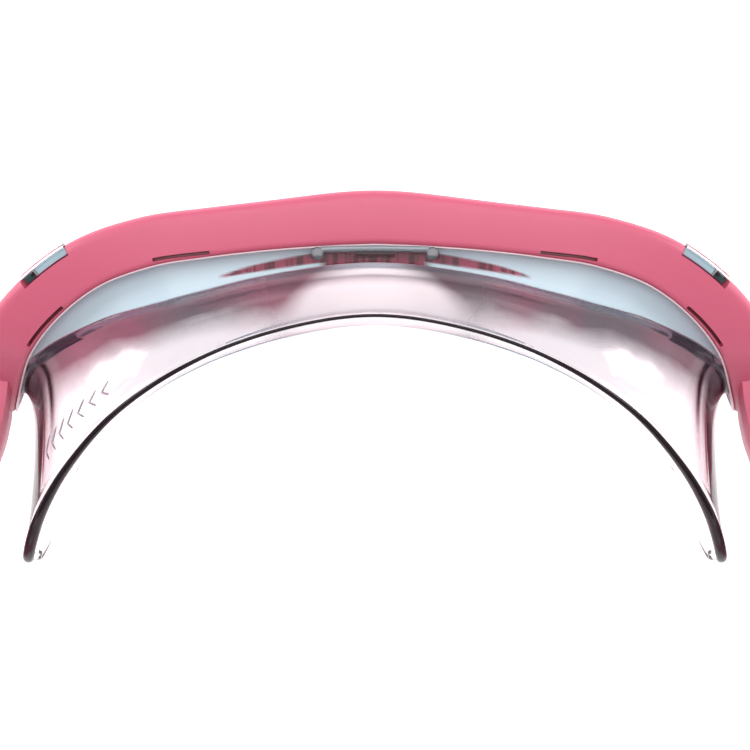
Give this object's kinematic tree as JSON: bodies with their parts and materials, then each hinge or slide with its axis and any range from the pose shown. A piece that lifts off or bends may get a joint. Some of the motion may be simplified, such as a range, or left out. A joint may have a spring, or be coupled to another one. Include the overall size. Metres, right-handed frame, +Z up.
{
  "type": "swim mask",
  "caption": "Adult swim mask: wrapped frame round a tinted lens, clear silicone face seal, and a split head strap in swivelling buckles.",
  "frame": {"origin": "under the middle of the whole mask with its strap, on the surface that it stands on", "axes": "+X is the wearer's left, -Y is the front of the mask, +Z is up"},
  "size_m": [0.2, 0.2128, 0.0768],
  "materials": {
    "frame_pink": "satin",
    "lens_tint": "clear gloss, blue-grey tint",
    "clear_hard": "clear gloss",
    "clear_silicone": "clear, smooth",
    "latch_blue": "gloss",
    "strap_silicone": "satin, slightly milky",
    "strap_pink": "satin",
    "pin_steel": "brushed"
  },
  "bodies": {
    "mask": {"outer_frame": "frame_pink", "lens": "lens_tint", "seal_carrier": "clear_hard", "face_seal": "clear_silicone", "bridge_clip": "clear_hard", "temple_latch_left": "latch_blue", "temple_latch_right": "latch_blue", "swivel_pin_left": "pin_steel", "swivel_pin_right": "pin_steel"},
    "strap": {"head_strap": "strap_silicone", "clip_body_left": "frame_pink", "clip_body_right": "frame_pink", "lever_pin_left": "pin_steel", "lever_pin_right": "pin_steel", "lever_spring_left": "pin_steel", "lever_spring_right": "pin_steel", "roller_pin_left": "pin_steel", "roller_pin_right": "pin_steel"},
    "lever_left": {"release_lever_left": "strap_pink"},
    "lever_right": {"release_lever_right": "strap_pink"},
    "roller_left": {"strap_roller_left": "clear_hard"},
    "roller_right": {"strap_roller_right": "clear_hard"},
    "keeper_left": {"strap_keeper_left": "strap_pink"},
    "keeper_right": {"strap_keeper_right": "strap_pink"}
  },
  "joints": [
    {"name": "strap_swivel", "type": "hinge", "parent": "mask", "child": "strap", "pos_m": [0, -0.03235, 0.04], "axis": [1, 0, 0], "range_deg": [-25, 50]},
    {"name": "lever_press_left", "type": "hinge", "parent": "strap", "child": "lever_left", "pos_m": [0.0982, -0.01848, 0.03814], "axis": [0, 0.1328, 0.9911], "range_deg": [-8, 0], "stiffness_Nm_per_rad": 0.05},
    {"name": "roller_spin_left", "type": "hinge", "parent": "strap", "child": "roller_left", "pos_m": [0.091, -0.01253, 0.03734], "axis": [0, 0.1328, 0.9911], "continuous": true},
    {"name": "keeper_slide_left", "type": "slide", "parent": "strap", "child": "keeper_left", "axis": [0, 0.9911, -0.1328], "range_m": [-0.006, 0.008]},
    {"name": "lever_press_right", "type": "hinge", "parent": "strap", "child": "lever_right", "pos_m": [-0.0982, -0.01848, 0.03814], "axis": [0, 0.1328, 0.9911], "range_deg": [0, 8], "stiffness_Nm_per_rad": 0.05},
    {"name": "roller_spin_right", "type": "hinge", "parent": "strap", "child": "roller_right", "pos_m": [-0.091, -0.01253, 0.03734], "axis": [0, 0.1328, 0.9911], "continuous": true},
    {"name": "keeper_slide_right", "type": "slide", "parent": "strap", "child": "keeper_right", "axis": [0, 0.9911, -0.1328], "range_m": [-0.006, 0.008]}
  ]
}
